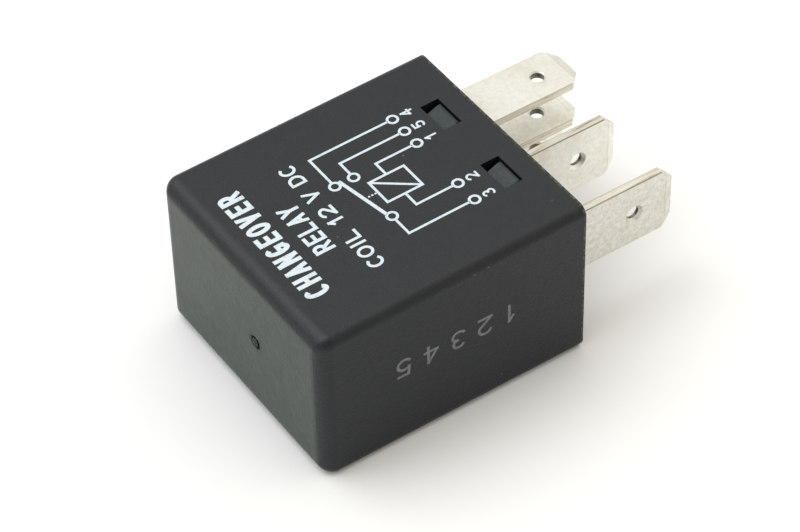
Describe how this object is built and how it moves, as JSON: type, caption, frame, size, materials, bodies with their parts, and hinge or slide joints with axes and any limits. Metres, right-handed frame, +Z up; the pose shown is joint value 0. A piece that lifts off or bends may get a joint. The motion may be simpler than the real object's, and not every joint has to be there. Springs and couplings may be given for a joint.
{
  "type": "plug-in relay",
  "caption": "Small black box relay with flat blade terminals on one end, a clipped-on cover and a coil, armature and changeover contacts inside.",
  "frame": {"origin": "centre of the whole relay's footprint, on the broad face that it lies on", "axes": "+X out of the socket end along the blades, +Y towards the row of narrow blades, +Z up through the printed broad face"},
  "size_m": [0.0366, 0.0228, 0.0156],
  "materials": {
    "cover_plastic": "fine spark-eroded black moulding",
    "base_plastic": "black moulding, slightly smoother",
    "print_white": "white pad-printed ink",
    "tinned_copper": "dull tin plating",
    "iron": "nickel-plated soft iron",
    "bobbin_plastic": "natural glass-filled moulding",
    "coil_wire": "enamelled copper wire",
    "spring_bronze": "rolled copper-alloy leaf",
    "contact_silver": "silver alloy",
    "rivet_copper": "staked copper",
    "solder": "bright solder"
  },
  "bodies": {
    "base": {"base_plate": "base_plastic", "terminal_1": "tinned_copper", "terminal_2": "tinned_copper", "terminal_3": "tinned_copper", "terminal_4": "tinned_copper", "terminal_5": "tinned_copper", "yoke": "iron", "iron_core": "iron", "coil_bobbin": "bobbin_plastic", "coil_winding": "coil_wire", "coil_lead_start": "coil_wire", "coil_lead_end": "coil_wire", "solder_joint_1": "solder", "solder_joint_2": "solder", "fixed_contact_nc": "contact_silver", "fixed_contact_no": "contact_silver", "yoke_rivets": "rivet_copper", "common_rivet": "rivet_copper"},
    "armature": {"armature": "iron", "contact_spring": "spring_bronze", "moving_contact": "contact_silver", "armature_rivets": "rivet_copper"},
    "cover": {"cover": "cover_plastic"}
  },
  "joints": [
    {"name": "armature_hinge", "type": "hinge", "parent": "base", "child": "armature", "pos_m": [-0.01215, -0.0083, 0.0078], "axis": [0, 0, -1], "range_deg": [0, 2.2], "stiffness_Nm_per_rad": 0.02, "springref_deg": -17.19, "deforming": ["contact_spring"]},
    {"name": "cover_slide", "type": "slide", "parent": "base", "child": "cover", "axis": [-1, 0, 0], "range_m": [0, 0.03]}
  ]
}
